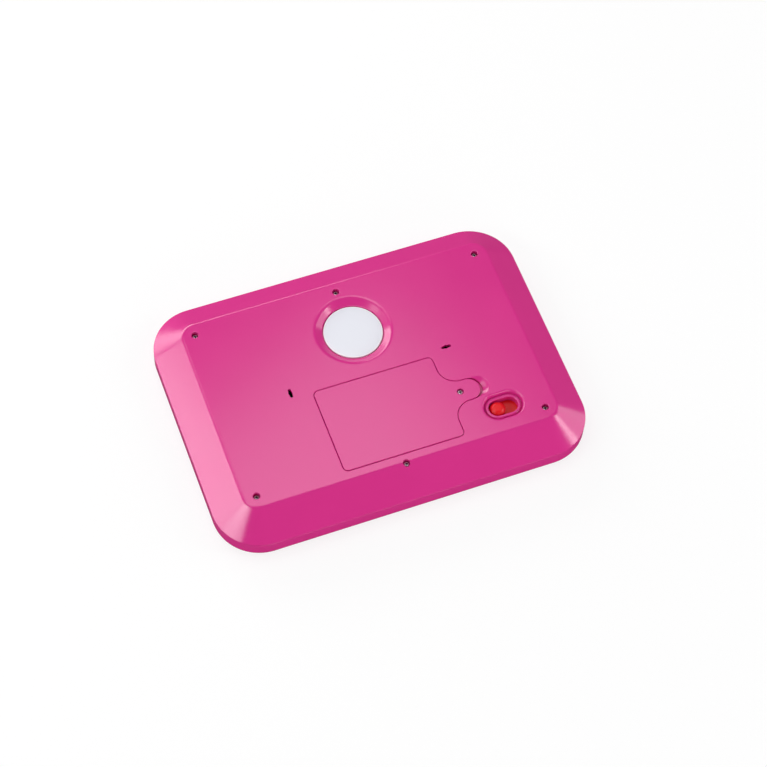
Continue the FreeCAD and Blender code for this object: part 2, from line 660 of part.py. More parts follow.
badge_cut = sketch_on(rear, "badge_recess", "-badge_up", "XZ_Plane", "badge_across")
polygon(badge_cut, (("0", "case_height - badge_depth"), ("badge_inner", "case_height - badge_depth"),
                    ("badge_dish", "case_height"), ("badge_dish", "case_height + wall"),
                    ("0", "case_height + wall")))
turned(rear, "Groove", badge_cut, "badge_dish_cut")
for height, radius, size in (("case_height", "badge_dish", "badge_dish_round"),
                             ("case_height - badge_depth", "badge_inner", "badge_inner_round")):
    round_edges(rear, "Fillet", size,
                lying(height, "badge_across", "badge_up", "2 * " + radius, "2 * " + radius), size)
badge_seat = sketch_on(rear, "badge_seat", "case_height - badge_depth")
circle(badge_seat, "badge_across", "badge_up", "badge_radius + badge_gap")
pocket(rear, badge_seat, "badge_thickness - badge_proud")

dish_top = sketch_on(rear, "dish_top", "case_height")
oval(dish_top, "dish_length", "dish_width", *DISH)
dish_floor = sketch_on(rear, "dish_floor", "dish_floor_height")
oval(dish_floor, "dish_floor_length", "dish_floor_width", *DISH)
loft(rear, "SubtractiveLoft", dish_top, dish_floor, "dish")
round_edges(rear, "Fillet", "dish_round", lying("case_height", *DISH, "dish_length", "dish_width"),
            "dish_edge")
round_edges(rear, "Fillet", "dish_floor_round",
            lying("dish_floor_height", *DISH, "dish_floor_length", "dish_floor_width"), "dish_foot")
rim = sketch_on(rear, "slot_rim", "dish_floor_height")
oval(rim, "slot_length + 2 * slot_rim_width", "slot_width + 2 * slot_rim_width", *DISH)
pad(rear, rim, "slot_rim_height")
rim_top = "dish_floor_height + slot_rim_height"
round_edges(rear, "Fillet", "slot_rim_round",
            lying(rim_top, *DISH, "slot_length + 2 * slot_rim_width", "slot_width + 2 * slot_rim_width"),
            "rim_outside")
skirt = sketch_on(rear, "slot_skirt", "dish_underside")
oval(skirt, "slot_length + 2 * skirt_wall", "slot_width + 2 * skirt_wall", *DISH)
pad(rear, skirt, "slot_skirt", down=True)
opening = sketch_on(rear, "switch_slot", "case_height")
oval(opening, "slot_length", "slot_width", *DISH)
pocket(rear, opening, "case_height - slider_top")
round_edges(rear, "Fillet", "slot_edge_round", lying(rim_top, *DISH, "slot_length", "slot_width"),
            "rim_inside")

for side in ("-", "+"):
    rail = sketch_on(rear, "slider_rail", "dish_underside")
    near = "switch_up %s (slot_width / 2 + slider_cover + slide_gap)" % side
    far = "%s %s dish_wall" % (near, side)
    edges = (far, near) if side == "-" else (near, far)
    box_outline(rail, "switch_across - slot_length / 2", "switch_across + slot_length / 2",
                edges[0], edges[1])
    pad(rear, rail, "slot_skirt + slider_thickness + 2 * slide_gap", down=True)
    post = sketch_on(rear, "switch_post", CEILING)
    circle(post, "switch_across", "switch_up %s switch_post_spread" % side, "small_post / 2")
    pad(rear, post, CEILING + " - switch_board_top", down=True)
    pilot = sketch_on(rear, "switch_pilot", "switch_board_top")
    circle(pilot, "switch_across", "switch_up %s switch_post_spread" % side, "small_shank / 2")
    feature = pocket(rear, pilot, "small_screw_length")
    feature.Reversed = True

slots = sketch_on(rear, "tie_slots", "case_height")
oval(slots, "tie_length", "tie_width", "tie_across", "tie_up")
pocket(rear, slots, "2 * wall")
upright = sketch_on(rear, "tie_slot_upright", "case_height")
reach = "(tie_length - tie_width) / 2"
chain(upright, (("-tie_across", "tie_up + " + reach, "tie_width / 2", 0, 180),
                ("-tie_across", "tie_up - " + reach, "tie_width / 2", 180, 360)))
pocket(rear, upright, "2 * wall")
bulges = sketch_on(rear, "tie_bulges", "case_height")
circle(bulges, "tie_across", "tie_up", "tie_bulge / 2")
circle(bulges, "-tie_across", "tie_up", "tie_bulge / 2")
pocket(rear, bulges, "2 * wall")

scoop = rear.newObject("PartDesign::SubtractiveSphere", "finger_scoop")
scoop.AttachmentSupport = [(next(item for item in rear.Origin.OriginFeatures
                                 if item.Role == "XY_Plane"), "")]
scoop.MapMode = "FlatFace"
scoop.setExpression("Radius", bound("scoop_ball"))
for axis, text in zip("xyz", ("scoop_across", "door_up", "case_height - scoop_depth + scoop_ball")):
    scoop.setExpression("AttachmentOffset.Base." + axis, bound(text))
scoop_size = "2 * sqrt(scoop_depth * (2 * scoop_ball - scoop_depth))"
round_edges(rear, "Fillet", "scoop_round",
            lying("case_height", "scoop_across", "door_up", scoop_size, scoop_size), "scoop_edge")

# ---------------------------------------------------------------- front shell

front = body_named("front_shell")
panel = sketch_on(front, "panel")
rounded(panel, "case_length", "case_width", "case_corner")
pad(front, panel, FRONT_TOP)
round_edges(front, "Fillet", "front_round", lying("0"), "front_edge")
round_edges(front, "Fillet", "seam_round", lying(FRONT_TOP), "seam_edge")
inside = sketch_on(front, "front_inside", FRONT_TOP)
rounded(inside, "case_length - 2 * wall", "case_width - 2 * wall", "case_corner - wall")
pocket(front, inside, FRONT_TOP + " - front_wall")
window = sketch_on(front, "window", "front_wall")
rounded(window, "window_length", "window_width", "window_corner")
pocket(front, window)
posts = sketch_on(front, "case_posts", "front_wall")
for across, up in SCREW_PLACES:
    circle(posts, across, up, "post_width / 2")
pad(front, posts, "parting_height - front_wall")
pilots = sketch_on(front, "case_pilots", "parting_height")
for across, up in SCREW_PLACES:
    circle(pilots, across, up, "screw_shank / 2")
pocket(front, pilots, "screw_length - well_floor + parting_height + slide_gap")
home_hole = sketch_on(front, "home_hole", "front_wall")
circle(home_hole, "home_across", "0", "home_width / 2 + tile_gap")
pocket(front, home_hole)
grille = sketch_on(front, "grille", "front_wall")
circle(grille, "speaker_across", "0", "grille_hole / 2")
for ring, count in ((1, 6), (2, 12)):
    for hole in range(count):
        turn = "%d" % (360 // count * hole)
        circle(grille, "speaker_across + %d * speaker_width / 7 * cos(%s deg)" % (ring, turn),
               "%d * speaker_width / 7 * sin(%s deg)" % (ring, turn), "grille_hole / 2")
pocket(front, grille)
small_posts = (("home_posts", "home_across", "home_post_spread", "home_board_face"),
               ("speaker_posts", "speaker_across", SPEAKER_SPREAD, SPEAKER_FOOT + " + speaker_flange"))
speaker_seat = sketch_on(front, "speaker_seat", "front_wall")
circle(speaker_seat, "speaker_across", "0", "speaker_width / 2")
circle(speaker_seat, "speaker_across", "0", "speaker_width / 2 - tub_wall")
pad(front, speaker_seat, "speaker_seat_height")
for name, across, spread, top in small_posts:
    stand = sketch_on(front, name, "front_wall")
    pilot = sketch_on(front, name + "_pilots", top)
    for side in ("-", ""):
        circle(stand, across, side + spread, "small_post / 2")
        circle(pilot, across, side + spread, "small_shank / 2")
    pad(front, stand, "(%s) - front_wall" % top)
    pocket(front, pilot, "small_screw_length")

# ---------------------------------------------------------------- battery door and its screw

door = body_named("battery_door")
door_plate = sketch_on(door, "door_plate", DOOR_UNDERSIDE)
door_outline(door_plate, "0")
pad(door, door_plate, "door_thickness")
round_edges(door, "Fillet", "door_round", lying("case_height"), "door_edge")
tongue = sketch_on(door, "tongue", DOOR_UNDERSIDE)
tongue_outline(tongue, "0")
pad(door, tongue, "tongue_extra", down=True)
head_seat = sketch_on(door, "door_screw_seat", "case_height")
circle(head_seat, "door_screw_across", "door_up", "door_screw_head / 2 + door_screw_ring")
pocket(door, head_seat, "door_screw_sink")
shank_hole = sketch_on(door, "door_screw_hole", "case_height")
circle(shank_hole, "door_screw_across", "door_up", "screw_shank / 2 + slide_gap")
pocket(door, shank_hole)
for side in ("-", "+"):
    hook = sketch_on(door, "hook", DOOR_UNDERSIDE)
    middle = "door_up %s hook_spread" % side
    box_outline(hook, DOOR_LEFT + " + door_gap", DOOR_LEFT + " + door_gap + hook_drop",
                middle + " - hook_width / 2", middle + " + hook_width / 2")
    pad(door, hook, "hook_drop", down=True)
    toe = sketch_on(door, "hook_toe", DOOR_UNDERSIDE + " - hook_drop")
    box_outline(toe, DOOR_LEFT + " - door_gap - hook_reach", DOOR_LEFT + " + door_gap + hook_drop",
                middle + " - hook_width / 2", middle + " + hook_width / 2")
    pad(door, toe, "hook_thickness")

door_screw = screw("door_screw", "door_screw_across", "door_up",
                   "case_height - door_screw_sink + seat_gap", "door_screw_head",
                   "door_screw_head_height", "screw_shank", "door_screw_length")
door_screw.Label = "door_screw"

# ---------------------------------------------------------------- case screws

group("case_screws", [screw("case_screw_%d" % number, across, up, "well_floor", "screw_head",
                            "screw_head_height", "screw_shank", "screw_length")
                      for number, (across, up) in enumerate(SCREW_PLACES, start=1)])

# ---------------------------------------------------------------- rear badge

badge = body_named("rear_badge")
place(badge, "badge_across", "badge_up", "case_height - badge_depth + badge_proud")
disc = sketch_on(badge, "badge_disc")
circle(disc, "0", "0", "badge_radius")
pad(badge, disc, "badge_thickness", down=True)
round_edges(badge, "Fillet", "badge_round", lying("0"), "badge_edge")

# ---------------------------------------------------------------- power switch

slider = body_named("switch_slider")
place(slider, KNOB_ACROSS, "switch_up", "slider_top")
plate = sketch_on(slider, "slider_plate")
box_outline(plate, "-(slot_length - slot_width / 2 + slider_cover)",
            "slot_length - slot_width / 2 + slider_cover",
            "-(slot_width / 2 + slider_cover)", "slot_width / 2 + slider_cover")
pad(slider, plate, "slider_thickness", down=True)
knob = sketch_on(slider, "knob", role="XZ_Plane")
shoulder = "knob_top - slider_top - knob_dome"
polygon(knob, (("0", "-slider_thickness / 2"), ("knob_width / 2", "-slider_thickness / 2"),
               ("knob_width / 2", shoulder), ("knob_width / 2 - knob_dome", shoulder + " + knob_dome"),
               ("0", shoulder + " + knob_dome")))
turned(slider, "Revolution", knob, "knob_turned")
edge_tests = (lying(shoulder), lying(shoulder + " + knob_dome"))
round_edges(slider, "Fillet", "knob_round", lambda edge: any(test(edge) for test in edge_tests),
            "knob_edge")
for side in ("-", "+"):
    fork = sketch_on(slider, "slider_fork", "-slider_thickness")
    near = "%s(lever_width / 2 + slide_gap)" % side
    far = "%s(lever_width / 2 + slide_gap + slider_thickness)" % side
    edges = (far, near) if side == "-" else (near, far)
    box_outline(fork, edges[0], edges[1], "-fork_width / 2", "fork_width / 2")
    pad(slider, fork, "fork_depth", down=True)

primitive("Box", "switch_lever",
          (("Length", "lever_width"), ("Width", "lever_width"),
           ("Height", "slider_top - slider_thickness - slide_gap - switch_body_top")),
          KNOB_ACROSS + " - lever_width / 2", "switch_up - lever_width / 2", "switch_body_top + slide_gap")
can = primitive("Box", "switch_can",
                (("Length", "slot_length"), ("Width", "switch_body_width"),
                 ("Height", "switch_body_height")),
                "switch_across - slot_length / 2", "switch_up - switch_body_width / 2", "switch_board_top")
can.Label = "switch_body"
switch_board = body_named("switch_board")
outline = sketch_on(switch_board, "switch_board_outline", "switch_board_top - board_thickness")
box_outline(outline, "switch_across - slot_length / 2 - slider_cover",
            "switch_across + slot_length / 2 + slider_cover",
            "switch_up - switch_post_spread - small_post / 2",
            "switch_up + switch_post_spread + small_post / 2")
for side in ("-", "+"):
    circle(outline, "switch_across", "switch_up %s switch_post_spread" % side,
           "small_shank / 2 + slide_gap")
pad(switch_board, outline, "board_thickness")
group("switch_screws", [screw("switch_screw_" + word, "switch_across",
                              "switch_up %s switch_post_spread" % side,
                              "switch_board_top - board_thickness", "small_head", "small_head_height",
                              "small_shank", "small_screw_length", upside_down=True)
                        for word, side in (("low", "-"), ("high", "+"))])

# ---------------------------------------------------------------- tile grid, mat and circuit board

columns = int(value("tile_columns"))
rows = int(value("tile_rows"))
column_lines = ["(%d - (tile_columns - 1) / 2) * tile_pitch" % column for column in range(columns)]
row_lines = ["(%d - (tile_rows - 1) / 2) * row_pitch" % line for line in range(rows)]
post_places = [("%s(tile_columns / 2 - 1) * tile_pitch" % across, "%srow_pitch" % up)
               for across in ("-", "") for up in ("-", "")]

grid = body_named("key_grid")
grid_face = sketch_on(grid, "grid_face", "grid_recess")
rounded(grid_face, "window_length - 2 * tile_gap", "window_width - 2 * tile_gap",
        "window_corner - tile_gap")
pad(grid, grid_face, "grid_back - grid_recess")
grid_rim = sketch_on(grid, "grid_rim", "front_wall")
rounded(grid_rim, "window_length + 2 * grid_flange", "window_width + 2 * grid_flange", "window_corner")
pad(grid, grid_rim, "grid_back - front_wall")
for column_line in column_lines:
    windows = sketch_on(grid, "grid_windows", "grid_back")
    for row_line in row_lines:
        rounded(windows, "tile_length + 2 * tile_gap", "tile_width + 2 * tile_gap",
                "tile_corner + tile_gap", column_line, row_line)
    pocket(grid, windows)
grid_posts = sketch_on(grid, "grid_posts", "grid_back")
grid_pilots = sketch_on(grid, "grid_pilots", "board_face")
for across, up in post_places:
    circle(grid_posts, across, up, "grid_post / 2")
    circle(grid_pilots, across, up, "small_shank / 2")
pad(grid, grid_posts, "board_face - grid_back")
pocket(grid, grid_pilots, "small_screw_length - board_thickness + slide_gap")

mat = body_named("key_mat")
sheet_outline = sketch_on(mat, "mat_sheet", "mat_face")
rounded(sheet_outline, "window_length - 2 * board_margin", "window_width - 2 * board_margin",
        "window_corner - board_margin")
for across, up in post_places:
    circle(sheet_outline, across, up, "grid_post / 2 + slide_gap")
pad(mat, sheet_outline, "board_face - mat_face")
for column_line in column_lines:
    domes = sketch_on(mat, "mat_domes", "mat_face")
    for row_line in row_lines:
        circle(domes, column_line, row_line, "dome_width / 2")
    dome = pad(mat, domes, "mat_face - dome_top", down=True)
    dome.setExpression("TaperAngle", bound("-dome_taper"))

board = body_named("main_board")
board_outline = sketch_on(board, "board_outline", "board_face")
rounded(board_outline, "window_length - 2 * board_margin", "window_width - 2 * board_margin",
        "window_corner - board_margin")
for across, up in post_places:
    circle(board_outline, across, up, "small_shank / 2 + slide_gap")
pad(board, board_outline, "board_thickness")
group("board_screws", [screw("board_screw_%d" % number, across, up, "board_face + board_thickness",
                             "small_head", "small_head_height", "small_shank", "small_screw_length")
                       for number, (across, up) in enumerate(post_places, start=1)])
chip = primitive("Box", "sound_chip",
                 (("Length", "chip_size"), ("Width", "chip_size"), ("Height", "board_thickness")),
                 "window_length / 4", "window_width / 6", "board_face + board_thickness")

for column, column_line in enumerate(column_lines, start=1):
    for line, row_line in enumerate(row_lines, start=1):
        tile = body_named("tile_r%d_c%d" % (line, column))
        place(tile, column_line, row_line, "tile_recess")
        face = sketch_on(tile, "tile_face")
        rounded(face, "tile_length", "tile_width", "tile_corner")
        pad(tile, face, "grid_back + tile_gap - tile_recess")
        flange = sketch_on(tile, "tile_flange", "grid_back + tile_gap - tile_recess")
        half_length = "(tile_length / 2 + tile_flange)"
        half_width = "(tile_width / 2 + tile_flange)"
        box_outline(flange, "-" + half_length, half_length, "-" + half_width, half_width)
        pad(tile, flange, "tile_flange_height")

# ---------------------------------------------------------------- home button

home = body_named("home_button")
place(home, "home_across", "0", "tile_recess")
home_profile = sketch_on(home, "home_profile", role="XZ_Plane")
under_panel = "front_wall + tile_gap - tile_recess"
polygon(home_profile, (("0", "0"), ("home_width / 2", "0"), ("home_width / 2", under_panel),
                       ("home_width / 2 + tile_flange", under_panel),
                       ("home_width / 2 + tile_flange", under_panel + " + tile_flange_height"),
                       ("small_post / 2", under_panel + " + tile_flange_height"),
                       ("small_post / 2", "home_stem"), ("0", "home_stem")))
turned(home, "Revolution", home_profile, "home_turned")
home_board = body_named("home_board")
home_outline = sketch_on(home_board, "home_board_outline", "home_board_face")
rounded(home_outline, "home_width", "2 * home_post_spread + 2 * small_post", "small_post / 2",
        "home_across", "0")
for side in ("-", ""):
    circle(home_outline, "home_across", side + "home_post_spread", "small_shank / 2 + slide_gap")
pad(home_board, home_outline, "board_thickness")
group("home_screws", [screw("home_screw_" + word, "home_across", side + "home_post_spread",
                            "home_board_face + board_thickness", "small_head", "small_head_height",
                            "small_shank", "small_screw_length")
                      for word, side in (("low", "-"), ("high", ""))])
PLUNGER = "tile_recess + home_stem + press_travel + tile_gap"
tact_body = primitive("Box", "tact_body",
                      (("Length", "tact_size"), ("Width", "tact_size"), ("Height", "tact_size / 2")),
                      "home_across - tact_size / 2", "-tact_size / 2", "home_board_face - tact_size / 2")
plunger = primitive("Cylinder", "tact_plunger",
                    (("Radius", "plunger_width / 2"),
                     ("Height", "home_board_face - tact_size / 2 - (%s)" % PLUNGER)),
                    "home_across", "0", PLUNGER)
home_switch = joined("home_switch", [tact_body, plunger])
home_switch.Label = "home_switch"

# ---------------------------------------------------------------- cells and contacts

CELL_AXIS = "tub_top + cell_clear + cell_width / 2"
BAY_START = "door_across - (%s) / 2" % BAY
leaves = []
plates = []
for number in (1, 2, 3):
    line = "door_up + %d * cell_pitch" % (number - 2)
    cap_right = number != 2
    sign = "+" if cap_right else "-"
    turn = (V(0, 1, 0), 90 if cap_right else -90)
    spring_end = "door_across %s (-(%s) / 2 + spring_room)" % (sign, BAY)
    barrel = primitive("Cylinder", "barrel_%d" % number,
                       (("Radius", "cell_width / 2"), ("Height", "cell_length - cell_cap_height")),
                       spring_end, line, CELL_AXIS, turn)
    cap = primitive("Cylinder", "cap_%d" % number,
                    (("Radius", "cell_cap_width / 2"), ("Height", "cell_length")),
                    spring_end, line, CELL_AXIS, turn)
    cell = joined("battery_cell_%d" % number, [barrel, cap])
    leaf = body_named("spring_leaf_%d" % number)
    place(leaf, "door_across %s (-(%s) / 2)" % (sign, BAY), line, CELL_AXIS,
          (V(0, 0, 1), 0 if cap_right else 180))
    strip = sketch_on(leaf, "leaf_strip", role="XZ_Plane")
    half = "cell_width / 3"
    tip = "spring_room"
    polygon(strip, (("0", "-" + half), ("contact_thickness", "-" + half), (tip, "-contact_thickness"),
                    (tip, "contact_thickness"), ("contact_thickness", half), ("0", half),
                    ("0", half + " - contact_thickness"), (tip + " - contact_thickness", "0"),
                    ("0", "-%s + contact_thickness" % half)))
    leaf_pad = pad(leaf, strip, "cell_width / 2")
    leaf_pad.Midplane = True
    leaves.append(leaf)
    plate_foot = "door_across %s (%s) / 2" % (sign, BAY) + (" - contact_thickness" if cap_right else "")
    plates.append(primitive("Box", "plate_%d" % number,
                            (("Length", "contact_thickness"), ("Width", "contact_plate"),
                             ("Height", "contact_plate")),
                            plate_foot, line + " - contact_plate / 2",
                            CELL_AXIS + " - contact_plate / 2"))
group("spring_contacts", leaves)
group("plate_contacts", plates)

# ---------------------------------------------------------------- speaker

basket = body_named("speaker_frame")
place(basket, "speaker_across", "0", SPEAKER_FOOT)
ring = sketch_on(basket, "basket_profile", role="XZ_Plane")
outer = "speaker_width / 2"
sheet_metal = "contact_thickness"
polygon(ring, ((outer + " - speaker_ledge", "0"), (outer, "0"), (outer, "speaker_flange"),
               (outer + " - speaker_ledge + " + sheet_metal, "speaker_flange"),
               ("speaker_back", "speaker_depth"), ("magnet_width / 4", "speaker_depth"),
               ("magnet_width / 4", "speaker_depth - " + sheet_metal),
               ("speaker_back - " + sheet_metal, "speaker_depth - " + sheet_metal)))
turned(basket, "Revolution", ring, "basket_turned")
cone = body_named("speaker_cone")
place(cone, "speaker_across", "0", SPEAKER_FOOT)
paper = sketch_on(cone, "cone_profile", role="XZ_Plane")
coil = "(magnet_width / 4 - 2 * slide_gap)"
polygon(paper, (("0", "speaker_depth / 2"), ("magnet_width / 4", "speaker_depth / 2"),
                ("cone_width / 2 - cone_rim", "-slide_gap"), ("cone_width / 2", "-slide_gap"),
                ("cone_width / 2", "0"), ("cone_width / 2 - cone_rim + slide_gap", "0"),
                ("magnet_width / 4", "speaker_depth / 2 + slide_gap"),
                (coil, "speaker_depth / 2 + slide_gap"), (coil, "speaker_depth"),
                (coil + " - slide_gap", "speaker_depth"),
                (coil + " - slide_gap", "speaker_depth / 2 + slide_gap"),
                ("0", "speaker_depth / 2 + slide_gap")))
turned(cone, "Revolution", paper, "cone_turned")
magnet = primitive("Cylinder", "speaker_magnet",
                   (("Radius", "magnet_width / 2"), ("Height", "magnet_height")),
                   "speaker_across", "0", SPEAKER_FOOT + " + speaker_depth")
group("speaker_screws", [screw("speaker_screw_" + word, "speaker_across", side + SPEAKER_SPREAD,
                               SPEAKER_FOOT + " + speaker_flange", "speaker_screw_head",
                               "small_head_height", "small_shank", "small_screw_length")
                         for word, side in (("low", "-"), ("high", ""))])

# ---------------------------------------------------------------- check and write

INNER = {"rear_core"} | {leaf.Label for leaf in leaves}
doc.recompute()
for item in doc.Objects:
    if "Invalid" in item.State or "Error" in item.State:
        raise RuntimeError("%s did not build: %s" % (item.Label, item.State))
listed = [item for item in doc.Objects
          if item.isDerivedFrom("PartDesign::Body") or item.isDerivedFrom("Part::Feature")]
parts = [item for item in listed
         if item.Label not in INNER and not item.InList
         and not item.isDerivedFrom("PartDesign::Feature")
         and not item.isDerivedFrom("Sketcher::SketchObject")]
for item in parts:
    if item.Shape.isNull() or not item.Shape.isValid():
        raise RuntimeError("%s has no valid shape" % item.Label)
for item in parts:
    item.Shape.exportStep("parts/%s.step" % item.Label)
print("%d sub-parts written" % len(parts))
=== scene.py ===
import math

import bpy
import numpy as np
from mathutils import Matrix, Quaternion, Vector


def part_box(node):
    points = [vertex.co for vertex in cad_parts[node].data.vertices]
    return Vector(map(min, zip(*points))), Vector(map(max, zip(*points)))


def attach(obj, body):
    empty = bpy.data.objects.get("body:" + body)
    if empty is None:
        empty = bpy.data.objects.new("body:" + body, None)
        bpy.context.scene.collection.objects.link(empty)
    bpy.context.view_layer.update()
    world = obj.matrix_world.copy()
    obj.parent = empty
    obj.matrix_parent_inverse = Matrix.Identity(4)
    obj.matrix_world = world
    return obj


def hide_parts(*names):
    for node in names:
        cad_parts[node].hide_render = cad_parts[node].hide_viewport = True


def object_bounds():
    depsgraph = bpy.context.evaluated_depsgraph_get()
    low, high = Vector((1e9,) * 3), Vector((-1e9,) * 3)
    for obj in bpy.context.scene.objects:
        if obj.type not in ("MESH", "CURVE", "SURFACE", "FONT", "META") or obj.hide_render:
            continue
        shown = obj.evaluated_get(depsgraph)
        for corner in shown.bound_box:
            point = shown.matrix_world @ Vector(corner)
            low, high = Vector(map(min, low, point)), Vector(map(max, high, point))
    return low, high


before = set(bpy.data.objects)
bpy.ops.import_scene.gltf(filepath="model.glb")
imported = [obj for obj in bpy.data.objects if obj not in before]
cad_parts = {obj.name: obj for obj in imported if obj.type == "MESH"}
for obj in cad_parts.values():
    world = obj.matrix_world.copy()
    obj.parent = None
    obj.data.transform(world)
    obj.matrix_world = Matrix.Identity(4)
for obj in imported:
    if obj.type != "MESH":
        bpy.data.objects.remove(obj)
cad_low, cad_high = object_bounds()

# ---------------------------------------------------------------- camera and studio
# The tablet lies on its front on a white laminate table, seen from above its lower left corner.
# Two leaning strips at the left and one at the right draw the shine along its bevels. Wide soft
# boxes on all sides and overhead even out the light, and dim walls give the rest.

MM = 0.001
AZIMUTH, ELEVATION, ROLL = (math.radians(turn) for turn in (-24.1056, 59.7283, 4.3253))
DISTANCE = 1.5353
AIM = Vector((0.01259, 0.00279, 0.0))
LENS, SENSOR = 104.12, 36.0
LEAN = 19.0
WALL_STRENGTH = 0.2
TABLE_DROP = 0.3 * MM
TABLE_REACH = 4.0
TABLE_GLOW = 0.8
TABLE_WHITE, TABLE_IN_SHINE = 0.95, 0.12


def add_node(tree, kind, inputs=(), **settings):
    """Adds one shader node. The settings are its own, and each pair in inputs names a socket
    and gives its value or the output that it takes its value from."""
    node = tree.nodes.new(kind)
    for word, setting in settings.items():
        setattr(node, word, setting)
    for socket, given in inputs:
        if isinstance(given, bpy.types.NodeSocket):
            tree.links.new(given, node.inputs[socket])
        else:
            node.inputs[socket].default_value = given
    return node


def softbox(name, direction, distance, size, radiance, lean=0.0):
    """An area light that faces the origin from a direction and a distance, leaning by an angle
    in its own plane. A Lambert panel of radiance L and area A gives pi * L * A watts."""
    lamp = bpy.data.lights.new(name, "AREA")
    lamp.shape = "RECTANGLE"
    lamp.size, lamp.size_y = size
    lamp.energy = math.pi * radiance * size[0] * size[1]
    stand = bpy.data.objects.new(name, lamp)
    away = Vector(direction).normalized()
    stand.location = away * distance
    stand.rotation_mode = "QUATERNION"
    stand.rotation_quaternion = away.to_track_quat("Z", "Y") @ Quaternion((0, 0, 1), math.radians(lean))
    bpy.context.scene.collection.objects.link(stand)


def direct_sight(tree):
    """One for what the camera sees, straight or through glass, and nought for all else."""
    path = add_node(tree, "ShaderNodeLightPath")
    return add_node(tree, "ShaderNodeMath", ((0, path.outputs["Is Camera Ray"]),
                                             (1, path.outputs["Is Transmission Ray"])),
                    operation="MAXIMUM").outputs[0]


back = Vector((math.sin(AZIMUTH) * math.cos(ELEVATION), -math.cos(AZIMUTH) * math.cos(ELEVATION),
               math.sin(ELEVATION)))
level_right = (-back).cross(Vector((0, 0, 1))).normalized()
level_up = level_right.cross(-back)
right = level_right * math.cos(ROLL) + level_up * math.sin(ROLL)
up = level_up * math.cos(ROLL) - level_right * math.sin(ROLL)
facing = Matrix((right, up, back)).transposed().to_4x4()
lens = bpy.data.cameras.new("camera")
lens.lens = LENS
lens.sensor_width = SENSOR
camera = bpy.data.objects.new("camera", lens)
camera.matrix_world = Matrix.Translation(AIM + back * DISTANCE) @ facing
bpy.context.scene.collection.objects.link(camera)
bpy.context.scene.camera = camera
bpy.context.scene.view_settings.view_transform = "Standard"

softbox("left_strip", (-0.84, 0.05, 0.52), 1.54, (1.95, 0.26), 5.4, lean=LEAN)
softbox("left_front_strip", (-0.77, -0.12, 0.63), 1.6, (0.5, 0.24), 3.4, lean=LEAN)
softbox("left_back_softbox", (-0.44, 0.87, 0.21), 1.6, (1.4, 0.5), 3.6)
softbox("front_softbox", (0.10, -0.95, 0.27), 1.6, (1.4, 0.6), 3.2)
softbox("right_strip", (0.71, -0.41, 0.57), 1.5, (0.24, 0.7), 5.0)
softbox("right_softbox", (0.93, -0.22, 0.36), 1.6, (1.3, 1.0), 2.1)
softbox("overhead_softbox", (-0.10, 0.22, 0.96), 1.55, (1.4, 0.55), 2.35)
softbox("upper_left_softbox", (-0.38, 0.45, 0.81), 1.6, (0.5, 0.3), 2.6)
softbox("back_softbox", (-0.20, 0.86, 0.42), 1.6, (1.5, 0.35), 4.6)

# The camera sees the walls white, but they light the tablet dimly.
world = bpy.data.worlds.new("white_walls")
world.use_nodes = True
tree = world.node_tree
tree.nodes.clear()
walls = add_node(tree, "ShaderNodeBackground", (("Color", (1, 1, 1, 1)), ("Strength", WALL_STRENGTH)))
white = add_node(tree, "ShaderNodeBackground", (("Color", (1, 1, 1, 1)), ("Strength", 1.0)))
mixed = add_node(tree, "ShaderNodeMixShader",
                 ((0, direct_sight(tree)), (1, walls.outputs[0]), (2, white.outputs[0])))
add_node(tree, "ShaderNodeOutputWorld", (("Surface", mixed.outputs[0]),))
bpy.context.scene.world = world

# The table is white to the camera too, with the tablet's shadow on it. The shine of the plastic
# takes it as dark, which keeps the far bevels deep.
table_mesh = bpy.data.meshes.new("table")
corners = np.array([(-1, -1), (1, -1), (1, 1), (-1, 1)]) * TABLE_REACH
table_mesh.from_pydata([(x, y, cad_low.z - TABLE_DROP) for x, y in corners], [], [(0, 1, 2, 3)])
table = bpy.data.objects.new("table", table_mesh)
bpy.context.scene.collection.objects.link(table)
laminate = bpy.data.materials.new("white_laminate")
laminate.use_nodes = True
tree = laminate.node_tree
tree.nodes.clear()
share = add_node(tree, "ShaderNodeMath", ((0, direct_sight(tree)), (1, TABLE_GLOW)), operation="MULTIPLY")
mirrored = add_node(tree, "ShaderNodeLightPath").outputs["Is Glossy Ray"]
grey = add_node(tree, "ShaderNodeMapRange", (("Value", mirrored), ("To Min", TABLE_WHITE),
                                             ("To Max", TABLE_IN_SHINE)))
matt = add_node(tree, "ShaderNodeBsdfDiffuse", (("Color", grey.outputs[0]),))
glow = add_node(tree, "ShaderNodeEmission", (("Color", (1, 1, 1, 1)), ("Strength", 1.0)))
mixed = add_node(tree, "ShaderNodeMixShader",
                 ((0, share.outputs[0]), (1, matt.outputs[0]), (2, glow.outputs[0])))
add_node(tree, "ShaderNodeOutputMaterial", (("Surface", mixed.outputs[0]),))
table_mesh.materials.append(laminate)

# ---------------------------------------------------------------- front shell
# The tray that the tablet lies on: pink ABS, injection moulded with a fine spark-eroded
# grain. Its posts take the case screws, the speaker and the little board of the home button.

ABS_IOR = 1.6
CLOUD_SIZE = 60 * MM
ROUGHNESS_DRIFT = 0.03


def linear(code):
    """An sRGB hex colour as linear red, green and blue: c / 12.92 where c is up to 0.04045,
    and ((c + 0.055) / 1.055) to the power 2.4 above that."""
    channels = np.array([int(code[start:start + 2], 16) for start in (1, 3, 5)]) / 255
    curve = np.where(channels <= 0.04045, channels / 12.92, ((channels + 0.055) / 1.055) ** 2.4)
    return (*(float(channel) for channel in curve), 1.0)


